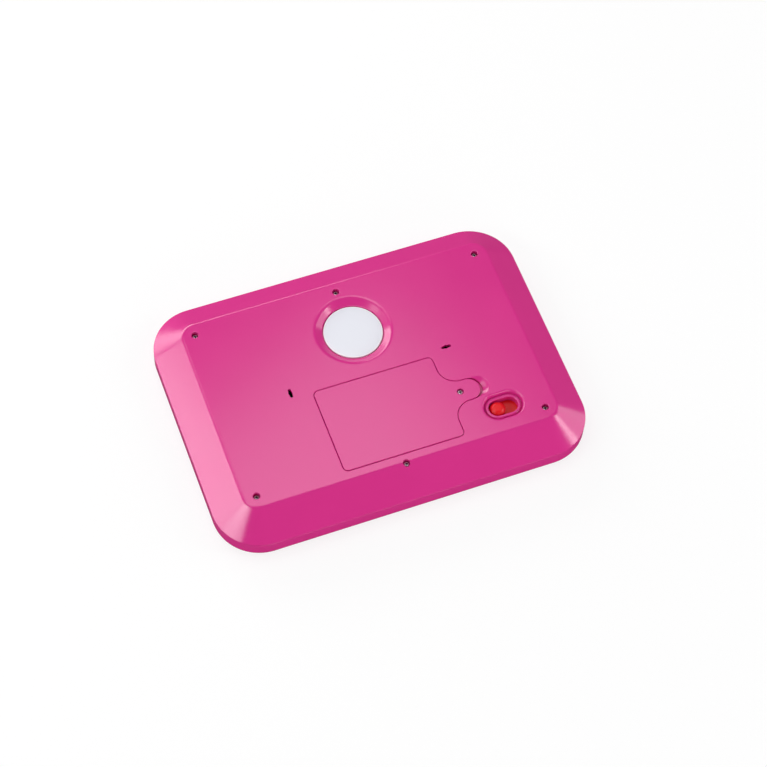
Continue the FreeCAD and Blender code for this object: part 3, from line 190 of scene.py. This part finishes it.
def surfaced(name, code, roughness, grain, depth, drift=0.04, ior=ABS_IOR, metallic=0.0):
    """A finish of one colour. A noise as fine as the grain, and as deep as the depth, both in
    millimetres, gives the bump. A slower noise lets the colour drift by a share of itself, and
    the roughness a little. A metal keeps the default refraction."""
    made = bpy.data.materials.new(name)
    made.use_nodes = True
    tree = made.node_tree
    tree.nodes.clear()
    place = add_node(tree, "ShaderNodeTexCoord").outputs["Object"]
    cloud = add_node(tree, "ShaderNodeTexNoise",
                     (("Vector", place), ("Scale", 1 / CLOUD_SIZE), ("Detail", 2.0))).outputs["Fac"]
    pale = [min(1, channel * (1 + drift)) for channel in linear(code)[:3]] + [1]
    deep = [channel * (1 - drift) for channel in linear(code)[:3]] + [1]
    # A Mix node of colours takes them on its sockets 6 and 7.
    colour = add_node(tree, "ShaderNodeMix", ((0, cloud), (6, deep), (7, pale)), data_type="RGBA")
    shine = add_node(tree, "ShaderNodeMapRange", (("Value", cloud),
                                                  ("To Min", roughness - ROUGHNESS_DRIFT),
                                                  ("To Max", roughness + ROUGHNESS_DRIFT)))
    fine = add_node(tree, "ShaderNodeTexNoise",
                    (("Vector", place), ("Scale", 1 / (grain * MM)), ("Detail", 3.0), ("Roughness", 0.6)))
    bump = add_node(tree, "ShaderNodeBump", (("Height", fine.outputs["Fac"]), ("Strength", 1.0),
                                             ("Distance", depth * MM)))
    substance = ("Metallic", metallic) if metallic else ("IOR", ior)
    skin = add_node(tree, "ShaderNodeBsdfPrincipled",
                    (("Base Color", colour.outputs[2]), ("Roughness", shine.outputs[0]), substance,
                     ("Normal", bump.outputs[0])))
    add_node(tree, "ShaderNodeOutputMaterial", (("Surface", skin.outputs[0]),))
    return made


def dressed(names, material):
    """Gives CAD nodes their finish."""
    for name in names:
        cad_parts[name].material_slots[0].material = material


# Moulded ABS with a satin mould face: a clear pink whose shine is soft at its edges.
pink_abs = surfaced("pink_abs_moulded", "#d42985", roughness=0.18, grain=0.5, depth=0.012)
dressed(("front_shell",), pink_abs)

# ---------------------------------------------------------------- speaker
# A small round speaker behind the grille of the front shell: a pressed steel basket, a paper
# cone glued into it and a ferrite magnet behind. Two screws hold its ears.

# Black dip coat on pressed steel: smooth, thick lacquer.
dressed(("speaker_frame",), surfaced("black_coated_steel", "#2a2a2c", roughness=0.4, grain=0.6, depth=0.01))
# Pressed paper pulp: dull and fibrous.
dressed(("speaker_cone",), surfaced("pressed_paper", "#26241f", roughness=0.85, grain=0.35, depth=0.05,
                                    drift=0.12, ior=1.45))
# Sintered ferrite, ground on its faces: dark, dull and gritty.
dressed(("speaker_magnet",), surfaced("sintered_ferrite", "#3b3b3d", roughness=0.6, grain=0.25, depth=0.02,
                                      drift=0.1))

# ---------------------------------------------------------------- home button
# A round crowned button at the left end of the front, moulded in yellow ABS. It rides on the
# plunger of its own push switch.

# The same plastic as the shells in a warm yellow, from a mould with a smoother face.
dressed(("home_button",), surfaced("yellow_abs_moulded", "#f2c230", roughness=0.2, grain=0.5, depth=0.006))
# Nylon with carbon black: matt, with a soft sheen.
black_nylon = surfaced("black_nylon_moulded", "#1c1c1e", roughness=0.5, grain=0.4, depth=0.01, ior=1.53)
dressed(("home_switch",), black_nylon)

# ---------------------------------------------------------------- tiles and their grid
# Twenty-eight square tiles of milky acrylic press down on silicone domes. They sit in a white
# ABS grid that is screwed to the circuit board, with the dome mat held between the two.

COLUMNS, ROWS = 7, 4

# Polished moulded acrylic with a white filler, so it glows evenly and mirrors sharply.
milky_acrylic = surfaced("milky_acrylic_moulded", "#e3ecf4", roughness=0.14, grain=0.8, depth=0.003,
                         drift=0.02, ior=1.49)
for row in range(1, ROWS + 1):
    dressed(["tile_r%d_c%d" % (row, column) for column in range(1, COLUMNS + 1)], milky_acrylic)
# White ABS from a plainer mould, duller than the shells.
dressed(("key_grid",), surfaced("white_abs_moulded", "#efecec", roughness=0.38, grain=0.5, depth=0.012,
                                drift=0.02))
# Compression moulded silicone: dull, with a faintly powdery face.
dressed(("key_mat",), surfaced("silicone_pressed", "#d9d6d2", roughness=0.62, grain=0.6, depth=0.02,
                               ior=1.41))

# ---------------------------------------------------------------- circuit boards
# The main board under the keys, with the sound chip soldered to it, and two little boards for
# the home button and the power switch. They are cut from glass cloth and resin.

# Glass cloth under green solder resist: smooth lacquer that follows the weave of the cloth.
dressed(("main_board", "home_board", "switch_board"),
        surfaced("green_solder_resist", "#2f6b3c", roughness=0.3, grain=0.4, depth=0.01, drift=0.08,
                 ior=1.5))
# Epoxy with carbon black, moulded round the chip: matt and plain.
dressed(("sound_chip",), surfaced("black_epoxy_moulded", "#1c1c1e", roughness=0.5, grain=0.4, depth=0.01,
                                  ior=1.53))

# ---------------------------------------------------------------- rear shell
# The bevelled back, moulded in one piece with the battery tub, the dish of the badge and the
# oval dish of the switch. It is of the same ABS and from the same mould maker as the front.

dressed(("rear_shell",), pink_abs)

# ---------------------------------------------------------------- power switch
# A red knob on a plate that slides under the oval opening. A fork under the plate carries the
# lever of a tin-cased slide switch on its own little board.

# Red ABS that thumbs have rubbed: deep in colour, and duller than the shells.
dressed(("switch_slider",), surfaced("red_abs_moulded", "#dc0b18", roughness=0.28, grain=0.5, depth=0.006,
                                     ior=1.4))
dressed(("switch_lever",), black_nylon)
# Folded tinplate: a bright metal with rolling marks too fine to see.
dressed(("switch_body",), surfaced("tinned_sheet", "#b9bcc0", roughness=0.3, grain=0.5, depth=0.006,
                                   metallic=1.0))

# ---------------------------------------------------------------- screws
# Cross-recessed pan screws of zinc plated steel: six join the shells from the back, and one
# holds the battery door. Their threads are cut to the length that stands in the posts.

SCREW_HEAD, SCREW_SHANK = 1.9 * MM, 1.2 * MM
SCREW_SPAN = 2.5 * SCREW_HEAD
CASE_HEAD_HEIGHT, DOOR_HEAD_HEIGHT = 2.0 * MM, 1.7 * MM
PITCH, THREAD_DEPTH = 1.0 * MM, 0.22 * MM
AROUND, HEAD_RINGS, THREAD_STEPS = 72, 26, 6
# The recess in shares of the head's radius, and its depths in shares of the head's height.
ARM_REACH, ARM_WIDTH, ARM_DEPTH = 0.55, 0.15, 0.4
ARM_END_SLOPE, ARM_SIDE_SLOPE = 0.1, 0.06
CONE_REACH, CONE_DEPTH = 0.4, 0.85
# The painted shade in the recess reaches this share of the radius, and covers faces more than this share of
# the height below the pan.
SHADE_REACH, SHADE_DEPTH = 0.7, 0.12


def middles(node, span):
    """Where the like pieces of a node stand, seen from above: corners within a span of each
    other belong together, and the middle of their box is the axis."""
    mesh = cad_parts[node].data
    corners = np.empty(len(mesh.vertices) * 3)
    mesh.vertices.foreach_get("co", corners)
    plan = corners.reshape(-1, 3)[:, :2]
    axes = []
    while len(plan):
        near = np.linalg.norm(plan - plan[0], axis=1) < span
        axes.append((plan[near].min(axis=0) + plan[near].max(axis=0)) / 2)
        plan = plan[~near]
    return axes


def closed_round(rings):
    """Corners and faces of a surface of closed rings, an array of ring by corner by place. The
    first and the last ring are points, so the rings between them are joined by four-sided
    faces and the two ends by three-sided ones."""
    count, around = rings.shape[:2]
    inner = rings[1:-1].reshape(-1, 3)
    corners = np.concatenate([rings[:1, 0], inner, rings[-1:, 0]])
    index = 1 + np.arange((count - 2) * around).reshape(count - 2, around)
    after = np.roll(index, -1, axis=1)
    sides = np.stack([index[:-1], index[1:], after[1:], after[:-1]], axis=-1).reshape(-1, 4)
    first = np.stack([np.zeros(around, int), index[0], after[0]], axis=-1)
    last = np.stack([np.full(around, len(corners) - 1), after[-1], index[-1]], axis=-1)
    return corners, sides.tolist() + first.tolist() + last.tolist()


def pan(part):
    """The height of a pan head over its seat, where part is the share of its radius: the cube
    root of one less the cube of the part."""
    return np.cbrt(1 - np.clip(part, 0, 1) ** 3)


def pan_screw(axis, head, top, seat, shank, tip):
    """A screw on an upright axis. Its pan is cut by the deeper of two recesses: a cross, where
    the smaller of x and y is under the arm's width and the larger under its reach, and a cone
    in the middle. Below the seat the radius is the shank's, less a triangle wave of height over
    pitch less turn, and it runs down to a point over the last shank's width."""
    turn = np.linspace(0, 2 * math.pi, AROUND, endpoint=False)
    part = np.sin(np.linspace(0, math.pi / 2, HEAD_RINGS))
    radius = head * part
    x, y = (np.abs(part[:, None] * wave) for wave in (np.cos(turn), np.sin(turn)))
    sides = np.clip((ARM_WIDTH - np.minimum(x, y)) / ARM_SIDE_SLOPE + 0.5, 0, 1)
    ends = np.clip((ARM_REACH - np.maximum(x, y)) / ARM_END_SLOPE + 0.5, 0, 1)
    cone = CONE_DEPTH * np.clip(1 - part[:, None] / CONE_REACH, 0, 1)
    face = seat + (top - seat) * (pan(part)[:, None] - np.maximum(ARM_DEPTH * sides * ends, cone))
    steps = np.linspace(seat, tip, int((seat - tip) / PITCH * THREAD_STEPS))
    phase = np.mod(steps[:, None] / PITCH - turn / (2 * math.pi), 1)
    cut = THREAD_DEPTH * np.abs(2 * phase - 1)
    taper = np.clip((steps - tip) / (2 * shank), 0, 1)[:, None]
    body = (shank - cut) * taper
    reach = np.concatenate([np.repeat(radius[:, None], AROUND, 1), np.full((1, AROUND), head), body])
    level = np.concatenate([face, np.full((1, AROUND), seat), np.repeat(steps[:, None], AROUND, 1)])
    return closed_round(np.stack([axis[0] + reach * np.cos(turn), axis[1] + reach * np.sin(turn), level],
                                 axis=-1))


def made_piece(name, parts, material, sharp=35):
    """One object from the corners and faces of several parts. Edges that turn by more than the
    angle in degrees stay sharp and the rest is smooth."""
    corners, faces = [], []
    for part_corners, part_faces in parts:
        shift = sum(len(earlier) for earlier in corners)
        corners.append(part_corners)
        faces += [[number + shift for number in face] for face in part_faces]
    mesh = bpy.data.meshes.new(name)
    mesh.from_pydata(np.concatenate(corners).tolist(), [], faces)
    mesh.shade_smooth()
    mesh.set_sharp_from_angle(angle=math.radians(sharp))
    mesh.materials.append(material)
    piece = bpy.data.objects.new(name, mesh)
    bpy.context.scene.collection.objects.link(piece)
    return piece


# Barrel plated zinc over steel: a grey mirror that the tumbling has dulled.
zinc_steel = surfaced("zinc_plated_steel", "#e6e8ec", roughness=0.42, grain=0.3, depth=0.01, drift=0.08,
                      metallic=1.0)
dressed(("board_screws", "home_screws", "switch_screws", "speaker_screws"), zinc_steel)
# In the cross: a darker, duller zinc, a painted shade deep in the recess.
recess_shade_zinc = surfaced("zinc_painted_shade_in_recess", "#47494f", roughness=0.6, grain=0.2, depth=0.01, drift=0.1,
                     metallic=1.0)

for node, height, body in (("case_screws", CASE_HEAD_HEIGHT, "case"),
                           ("door_screw", DOOR_HEAD_HEIGHT, "door_screw")):
    low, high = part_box(node)
    seat = high[2] - height
    axes = middles(node, SCREW_SPAN)
    turned = made_piece(node + "_threaded", [pan_screw(axis, SCREW_HEAD, high[2], seat, SCREW_SHANK, low[2])
                                             for axis in axes], zinc_steel)
    # The faces that lie inside the head and under its pan get the painted shade of the recess.
    turned.data.materials.append(recess_shade_zinc)
    centres = np.empty(len(turned.data.polygons) * 3)
    turned.data.polygons.foreach_get("center", centres)
    centres = centres.reshape(-1, 3)
    away = np.min([np.linalg.norm(centres[:, :2] - axis, axis=1) for axis in axes], axis=0) / SCREW_HEAD
    level = (centres[:, 2] - seat) / height
    painted_shade_faces = (away < SHADE_REACH) & (level > 0) & (level < pan(away) - SHADE_DEPTH)
    turned.data.polygons.foreach_set("material_index", painted_shade_faces.astype(np.int32))
    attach(turned, body)
    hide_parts(node)

# ---------------------------------------------------------------- badge
# A plain round disc set into its dish and glued to the floor. It is of white ABS under a clear coat, with a
# painted highlight in a ring along its rim.

# The ring of painted highlight: how wide it is, measured in from the rim, and over how much it fades in.
HIGHLIGHT_RING_WIDTH, HIGHLIGHT_RING_FADE = 0.9 * MM, 0.27 * MM
EDGE_ROUND = 0.4 * MM
# The disc is drawn this much smaller than its solid, so that the dark gap round it shows.
EDGE_DRAW = 0.4 * MM
DISC_AROUND, EDGE_RINGS = 192, 7


def turned_disc(middle, radius, low, high, rounding):
    """A disc on an upright axis: flat faces, an upright wall, and a quarter circle of the
    rounding's radius between the wall and the upper face."""
    bend = np.linspace(0, math.pi / 2, EDGE_RINGS)
    out = np.concatenate([[0, radius / 2], radius - rounding + rounding * np.sin(bend), [radius, 0]])
    level = np.concatenate([[high, high], high - rounding + rounding * np.cos(bend), [low, low]])
    turn = np.linspace(0, 2 * math.pi, DISC_AROUND, endpoint=False)
    rings = np.stack([middle[0] + out[:, None] * np.cos(turn), middle[1] + out[:, None] * np.sin(turn),
                      np.repeat(level[:, None], DISC_AROUND, 1)], axis=-1)
    return closed_round(rings)


def only(tree, kind):
    """The one node of a kind in a finish."""
    return next(node for node in tree.nodes if node.type == kind)


def overlaid(tree, share, code):
    """Lays another colour over that of a finish, by the share that an output gives."""
    skin = only(tree, "BSDF_PRINCIPLED")
    under = skin.inputs["Base Color"].links[0].from_socket
    both = add_node(tree, "ShaderNodeMix", ((0, share), (6, under), (7, linear(code))), data_type="RGBA")
    tree.links.new(both.outputs[2], skin.inputs["Base Color"])


badge_low, badge_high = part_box("rear_badge")
badge_middle = (badge_low + badge_high) / 2
disc_radius = (badge_high[0] - badge_low[0]) / 2 - EDGE_DRAW

# White printed ABS under lacquer: a faintly blue white, with a painted highlight in the ring along its rim.
white_disc = surfaced("white_lacquered_disc", "#e4e6ee", roughness=0.3, grain=0.6, depth=0.004, drift=0.01)
tree = white_disc.node_tree
centred = add_node(tree, "ShaderNodeMapping", ((0, only(tree, "TEX_COORD").outputs["Object"]),
                                               ("Location", (-badge_middle[0], -badge_middle[1], 0)),
                                               ("Scale", (1, 1, 0))))
spread = add_node(tree, "ShaderNodeVectorMath", ((0, centred.outputs[0]),), operation="LENGTH")
# The ring of painted highlight along the rim of the disc.
ring = add_node(tree, "ShaderNodeMapRange", (("Value", spread.outputs["Value"]),
                                             ("From Min", disc_radius - HIGHLIGHT_RING_WIDTH),
                                             ("From Max", disc_radius - HIGHLIGHT_RING_WIDTH + HIGHLIGHT_RING_FADE)))
overlaid(tree, ring.outputs[0], "#f8f4fa")

disc = made_piece("rear_badge_coated", [turned_disc(badge_middle, disc_radius, badge_low[2], badge_high[2],
                                                    EDGE_ROUND)], white_disc)
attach(disc, "case")
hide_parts("rear_badge")

# ---------------------------------------------------------------- cells and contacts
# Three AA cells lie side by side in the tub, turned head to tail. Bent contacts of nickel
# plated spring steel slide into slots in the tub's end walls.

# Nickel plated strip: bright and slightly warm, from the rolling mill.
dressed(("spring_contacts", "plate_contacts"),
        surfaced("nickel_plated_steel", "#c6c4bd", roughness=0.28, grain=0.4, depth=0.006, metallic=1.0))

CAP_HEIGHT, JACKET_INSET = 1.3 * MM, 0.9 * MM
BAND_FROM = 0.78

# A printed film shrunk over a nickel plated can: glossy and dark, with a pale band at the
# capped end, and bare metal beyond it at both ends.
for name, cap_side in (("battery_cell_1", 1), ("battery_cell_2", -1), ("battery_cell_3", 1)):
    low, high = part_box(name)
    flat_end, capped_end = (low[0], high[0]) if cap_side > 0 else (high[0], low[0])
    foot = flat_end + cap_side * JACKET_INSET
    shoulder = capped_end - cap_side * (CAP_HEIGHT + JACKET_INSET)
    jacket = surfaced(name + "_film_on_can", "#2c2e33", roughness=0.25, grain=0.8, depth=0.006, ior=1.5)
    tree = jacket.node_tree
    along = add_node(tree, "ShaderNodeSeparateXYZ", ((0, only(tree, "TEX_COORD").outputs["Object"]),))
    share = add_node(tree, "ShaderNodeMapRange", (("Value", along.outputs["X"]), ("From Min", foot),
                                                  ("From Max", shoulder)), clamp=False)
    band = add_node(tree, "ShaderNodeMath", ((0, share.outputs[0]), (1, BAND_FROM)), operation="GREATER_THAN")
    above = add_node(tree, "ShaderNodeMath", ((0, share.outputs[0]), (1, 1.0)), operation="GREATER_THAN")
    below = add_node(tree, "ShaderNodeMath", ((0, share.outputs[0]), (1, 0.0)), operation="LESS_THAN")
    bare = add_node(tree, "ShaderNodeMath", ((0, above.outputs[0]), (1, below.outputs[0])), operation="ADD")
    overlaid(tree, band.outputs[0], "#b98a3e")
    overlaid(tree, bare.outputs[0], "#c6c4bd")
    tree.links.new(bare.outputs[0], only(tree, "BSDF_PRINCIPLED").inputs["Metallic"])
    dressed((name,), jacket)

# ---------------------------------------------------------------- battery door
# A flat lid over the cells, moulded in the pink ABS of the shells. Two hooks hold its left edge
# and a screw holds the tongue at its right end, where a scoop in the shell lets a finger lift it.

dressed(("battery_door",), pink_abs)
